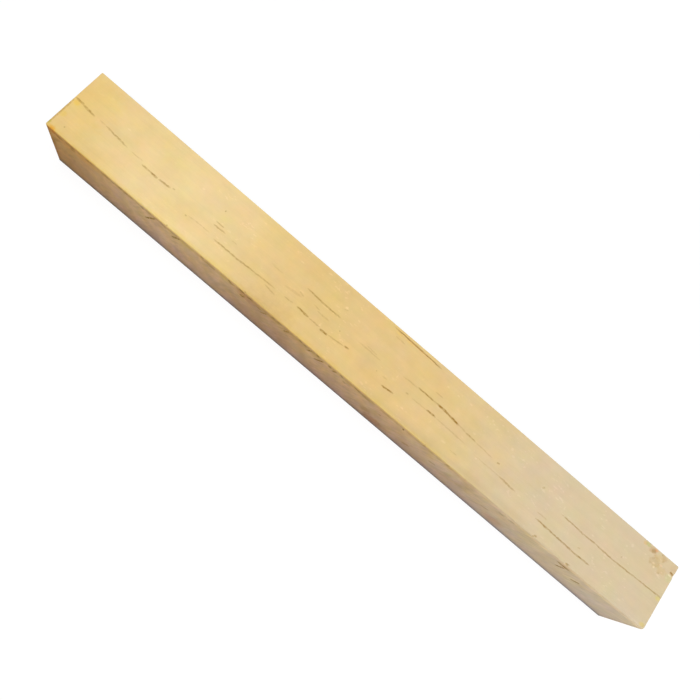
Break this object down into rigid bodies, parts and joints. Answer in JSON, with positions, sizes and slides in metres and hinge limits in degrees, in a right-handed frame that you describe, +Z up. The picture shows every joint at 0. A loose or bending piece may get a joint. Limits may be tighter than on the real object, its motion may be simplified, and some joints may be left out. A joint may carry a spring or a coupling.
{
  "type": "wood turning blank",
  "caption": "Square sawn length of pale hardwood for turning between centres on a lathe, lying on one long face.",
  "frame": {"origin": "middle of the underside, the long face that the blank lies on", "axes": "+X along the grain from the left end to the right end, +Y from the near long side to the far one, +Z up from the underside"},
  "size_m": [0.5, 0.05, 0.05],
  "materials": {
    "pale_hardwood": "bare planed hardwood, satin, close-grained, with brown flecks along the grain and a worn near arris"
  },
  "bodies": {
    "root": {"turning_blank": "pale_hardwood"}
  },
  "joints": []
}
